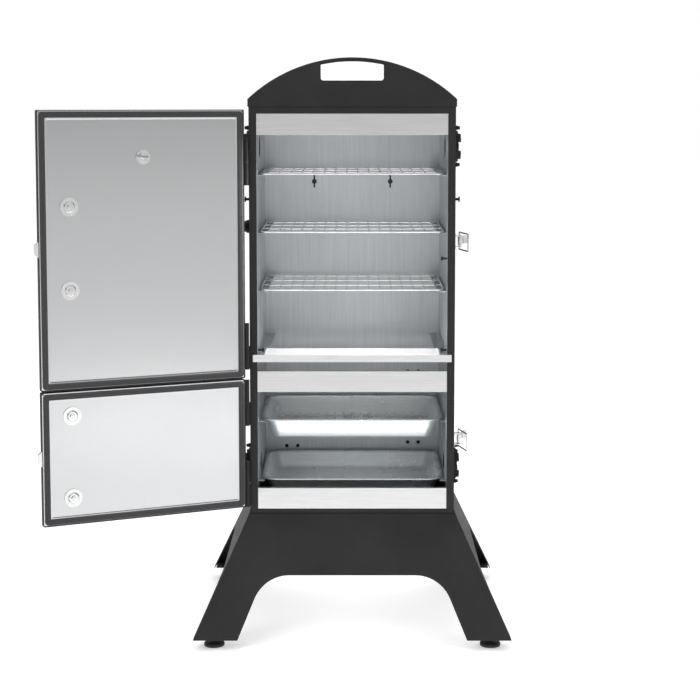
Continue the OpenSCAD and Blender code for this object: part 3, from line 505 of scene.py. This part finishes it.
doorParts = {
    "edge": 0.0024,        # radius along the skin's outer edges
    "corner": 0.003,
    "sheet": 0.0012,
    "lipHinge": 0.0034,    # how far the skin's folded lip shows on each side
    "lipFree": 0.0012,
    "lipTop": 0.0012,
    "lipBottom": 0.0030,
    "lipRise": 0.0003,
    "gasketWidth": 0.013,
    "gasketCorner": 0.008,
    "linerCorner": 0.003,
    "pressed": 0.0006,     # depth of the liner's pressed middle
    "pressedRun": 0.0016,
    "pressedGap": 0.0020,
}
gasketProfile = [  # across the gasket, share of its width and of its height
    (0.03, 0.0), (0.0, 0.25), (0.03, 0.62), (0.12, 0.88), (0.26, 1.0), (0.42, 0.97), (0.5, 0.93),
    (0.58, 0.97), (0.74, 1.0), (0.88, 0.88), (0.97, 0.62), (1.0, 0.25), (0.97, 0.0)]
grip = {
    "radius": 0.010,
    "overhang": 0.032,     # beyond each stand-off
    "flange": 0.012,
    "stem": 0.0078,
}


def hungMatrix(joint):  # from a closed door to where it hangs open
    spot = Vector(joint["pos_m"])
    turn = Matrix.Rotation(math.radians(joint["range_deg"][0]), 4, "Z")
    return Matrix.Translation(spot) @ turn @ Matrix.Translation(-spot)


def closedBox(node, hung):
    back = hung.inverted()
    points = [back @ v.co for v in nodes[node].data.vertices]
    return [[f(p[i] for p in points) for i in range(3)] for f in (min, max)]


def doorSkin(door, hung):
    v = doorParts
    lo, hi = closedBox(door + "_door_skin", hung)
    sides = (v["lipHinge"], v["lipFree"], v["lipBottom"], v["lipTop"])

    def loop(insets, y, radius):
        left, right, low, high = insets if isinstance(insets, tuple) else (insets,) * 4
        flat = cornered(lo[0] + left, hi[0] - right, lo[2] + low, hi[2] - high, radius)
        return [(x, y, z) for x, z in flat]

    r = v["edge"]
    loops = [loop(r + 0.001, lo[1], v["corner"])]
    for step in range(5):
        a = math.radians(90 * step / 4)
        loops.append(loop(r * (1 - math.sin(a)), lo[1] + r * (1 - math.cos(a)), v["corner"]))
    top = hi[1] + v["lipRise"]
    loops += [loop(0, hi[1] - 0.0004, v["corner"]), loop(0.0004, top, v["corner"]),
              loop(sides, top, 0.002), loop(sides, hi[1] - v["sheet"], 0.002),
              loop(v["sheet"], hi[1] - v["sheet"], 0.002), loop(v["sheet"], lo[1] + v["sheet"], 0.002)]
    newPiece(door + "_skin", joinLoops(loops, caps=True), door + "_door_skin", sharp=40, hung=hung)


def doorLiner(door, hung):
    v = doorParts
    lo, hi = closedBox(door + "_door_liner", hung)
    gasketLo = closedBox(door + "_door_gasket", hung)[0]
    side = gasketLo[0] - lo[0] + v["gasketWidth"] + v["pressedGap"]

    def loop(inset, y):
        flat = cornered(lo[0] + inset, hi[0] - inset, lo[2] + inset, hi[2] - inset, v["linerCorner"])
        return [(x, y, z) for x, z in flat]

    back = hi[1] - 0.0012
    loops = [loop(0, back), loop(0, hi[1] - 0.0002), loop(0.0002, hi[1]), loop(side, hi[1]),
             loop(side + v["pressedRun"] / 2, hi[1] - v["pressed"] / 3),
             loop(side + v["pressedRun"], hi[1] - v["pressed"]),
             loop(side + v["pressedRun"] + 0.001, hi[1] - v["pressed"])]
    obj = newPiece(door + "_liner", joinLoops(loops, caps=True), door + "_door_liner", sharp=40, hung=hung)
    obj.data.materials[0] = doorSteel


def doorGasket(door, hung):
    v = doorParts
    lo, hi = closedBox(door + "_door_gasket", hung)
    loops = []
    for across, height in gasketProfile:
        inset = across * v["gasketWidth"]
        radius = v["gasketCorner"] - 0.45 * inset
        y = lo[1] + height * (hi[1] - lo[1])
        flat = cornered(lo[0] + inset, hi[0] - inset, lo[2] + inset, hi[2] - inset, radius, 8)
        loops.append([(x, y, z) for x, z in flat])
    newPiece(door + "_gasket", joinLoops(loops, ring=True), door + "_door_gasket", sharp=50, hung=hung)


def doorHandle(door, hung):
    v = grip
    lo, hi = closedBox(door + "_door_handle", hung)
    x, r, length = (lo[0] + hi[0]) / 2, v["radius"], hi[2] - lo[2]
    end = [(0, 0), (0.5 * r, 0), (0.82 * r, 0.0007), (0.96 * r, 0.0024), (r, 0.005), (r, 0.0140),
           (0.93 * r, 0.0145), (0.93 * r, 0.0156), (r, 0.0161)]
    profile = end + [(radius, length - h) for radius, h in reversed(end)]
    shapes = [lathe(profile, (x, lo[1] + r, lo[2]), (0, 0, 1), 32)]
    reach = hi[1] - lo[1] - r
    foot = [(0, 0), (v["flange"], 0), (v["flange"], 0.0024), (0.0108, 0.0038), (0.0088, 0.0062),
            (v["stem"], 0.011), (v["stem"], reach - 0.014), (0.0086, reach - 0.009), (0.0086, reach - 0.004)]
    for z in (lo[2] + v["overhang"], hi[2] - v["overhang"]):
        shapes.append(lathe(foot, (x, hi[1], z), (0, -1, 0), 32))
    newPiece(door + "_handle", together(shapes), door + "_door_handle", sharp=40, hung=hung)


for door in ("upper", "lower"):
    hung = hungMatrix(joints[door + "_door_hinge"])
    doorSkin(door, hung)
    doorLiner(door, hung)
    doorGasket(door, hung)
    doorHandle(door, hung)
print("doors made")

# ---------- thermometer scale ----------

dial = {
    "ticks": 27,
    "sweep": 270,
    "start": 225,
    "outer": 0.0315,
    "short": 0.0025,
    "long": 0.0050,
    "every": 3,            # a long tick each third one
    "rise": 0.0002,
}


def thermometerScale(hung):
    v = dial
    lo, hi = closedBox("thermometer_dial", hung)
    cx, cz, y = (lo[0] + hi[0]) / 2, (lo[2] + hi[2]) / 2, hi[1] - 0.0015
    shapes = []
    for i in range(v["ticks"] + 1):
        a = math.radians(v["start"] - v["sweep"] * i / v["ticks"])
        big = i % v["every"] == 0
        along, across = Vector((math.cos(a), 0, math.sin(a))), Vector((-math.sin(a), 0, math.cos(a)))
        inner = v["outer"] - (v["long"] if big else v["short"])
        half = 0.0005 if big else 0.0003
        corners = []
        for rise in (0, v["rise"]):
            for r, s in ((inner, -half), (v["outer"], -half), (v["outer"], half), (inner, half)):
                corners.append(tuple(Vector((cx, y - rise, cz)) + along * r + across * s))
        sides = [(0, 4, 5, 1), (1, 5, 6, 2), (2, 6, 7, 3), (3, 7, 4, 0)]
        shapes.append((corners, [(0, 1, 2, 3), (7, 6, 5, 4)] + sides))
    newPiece("dial_scale", together(shapes), body="upper_door", slot="black_fittings", hung=hung)


thermometerScale(hungMatrix(joints["upper_door_hinge"]))
print("thermometer scale made")

# ---------- racks ----------

rackParts = {
    "frameWire": 0.0024,
    "barWire": 0.0015,
    "bars": 16,
    "bend": 0.012,         # how the frame turns its corners
    "share": 16.4,         # bars and their half gaps across the frame
}


def rack(node):
    v = rackParts
    lo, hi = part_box(node)
    r = v["frameWire"]
    x, y0, y1 = hi[0] - 0.0025, lo[1] + 0.0025, hi[1] - 0.0025
    z = lo[2] + 0.0025
    frame = [(px, py, z) for px, py in cornered(-x, x, y0, y1, v["bend"], 7)]
    shapes = [tube(frame, r, 12, closed=True)]
    for share in (1 / 3, 2 / 3):
        y = y0 + (y1 - y0) * share
        shapes.append(tube([(-x, y, z), (x, y, z)], 0.0021, 12))
    pitch = (2 * (x + 0.0025) - 0.005) / v["share"]
    for i in range(v["bars"]):
        bx = (i - (v["bars"] - 1) / 2) * pitch
        zb = z + 0.0025
        shapes.append(tube([(bx, y0 - 0.0008, zb - 0.0012), (bx, y0 + 0.0015, zb), (bx, y1 - 0.0015, zb),
                            (bx, y1 + 0.0008, zb - 0.0012)], v["barWire"], 10))
    newPiece(node + "_wire", together(shapes), node, sharp=50)


for node in ("low_rack", "middle_rack", "high_rack"):
    rack(node)
print("racks made")

# ---------- pans ----------

panParts = {
    "rim": 0.0105,
    "corner": 0.030,
    "taper": 0.012,
    "sheet": 0.001,
    "fillet": 0.007,
}
beadProfile = [  # the rolled edge: inset, drop below the rim
    (0.0032, 0.0010), (0.0032, 0.0030), (0.0024, 0.0039), (0.0012, 0.0040), (0.0003, 0.0032),
    (0.0, 0.0020), (0.0004, 0.0008), (0.0014, 0.0001), (0.0026, 0.0)]


def pan(node):
    v = panParts
    lo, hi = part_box(node)
    rim, taper, t, f = v["rim"], v["taper"], v["sheet"], v["fillet"]
    depth = hi[2] - lo[2]

    def loop(inset, z, thinner=0.0):
        if inset <= rim:
            radius = v["corner"] + rim - inset
        else:
            radius = v["corner"] - (inset - rim) * 0.5 - thinner
        flat = cornered(lo[0] + inset, hi[0] - inset, lo[1] + inset, hi[1] - inset, max(radius, 0.004), 10)
        return [(x, y, z) for x, y in flat]

    slope = taper / depth
    loops = [loop(rim + taper + f + 0.001, lo[2]), loop(rim + taper + f, lo[2])]
    for a in (25, 50, 70):
        w = math.radians(a)
        loops.append(loop(rim + taper + f * (1 - math.sin(w)), lo[2] + f * (1 - math.cos(w))))
    loops += [loop(rim + taper - slope * f, lo[2] + f), loop(rim, hi[2] - 0.0016)]
    loops += [loop(inset, hi[2] - drop) for inset, drop in beadProfile]
    loops += [loop(rim - 0.0030, hi[2]), loop(rim - 0.0010, hi[2] - 0.0003)]
    loops.append(loop(rim + t, hi[2] - 0.0022, t))
    loops.append(loop(rim + taper + t - slope * f, lo[2] + t + f, t))
    for a in (70, 50, 25):
        w = math.radians(a)
        loops.append(loop(rim + taper + t + f * (1 - math.sin(w)), lo[2] + t + f * (1 - math.cos(w)), t))
    loops += [loop(rim + taper + t + f, lo[2] + t, t), loop(rim + taper + t + f + 0.001, lo[2] + t, t)]
    newPiece(node + "_pressed", joinLoops(loops, caps=True), node, sharp=60)


for node in ("fuel_pan", "water_pan"):
    pan(node)
print("pans made")

# ---------- levelling feet ----------

footParts = {
    "profile": [(0, 0), (0.0205, 0), (0.0225, 0.0008), (0.023, 0.0024), (0.023, 0.0056), (0.0222, 0.0070),
                (0.0190, 0.0084), (0.0120, 0.0094), (0.0085, 0.0100), (0.0085, 0.0135), (0.0060, 0.0140)],
    "stem": 0.005,
    "thread": 0.0014,      # pitch
    "depth": 0.0005,
}


def foot(node):
    v = footParts
    lo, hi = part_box(node)
    profile = list(v["profile"])
    height, h = hi[2] - lo[2], 0.0150
    while h + v["thread"] < height - 0.001:
        profile += [(v["stem"], h), (v["stem"] - v["depth"], h + v["thread"] / 2)]
        h += v["thread"]
    profile += [(v["stem"], h), (v["stem"] - 0.001, height), (0, height)]
    middle = ((lo[0] + hi[0]) / 2, (lo[1] + hi[1]) / 2, lo[2])
    newPiece(node + "_turned", lathe(profile, middle, (0, 0, 1), 32), node, sharp=45)


for side in ("front_left", "front_right", "back_left", "back_right"):
    foot(side + "_foot")
print("feet made")

scene.view_settings.view_transform = "Standard"
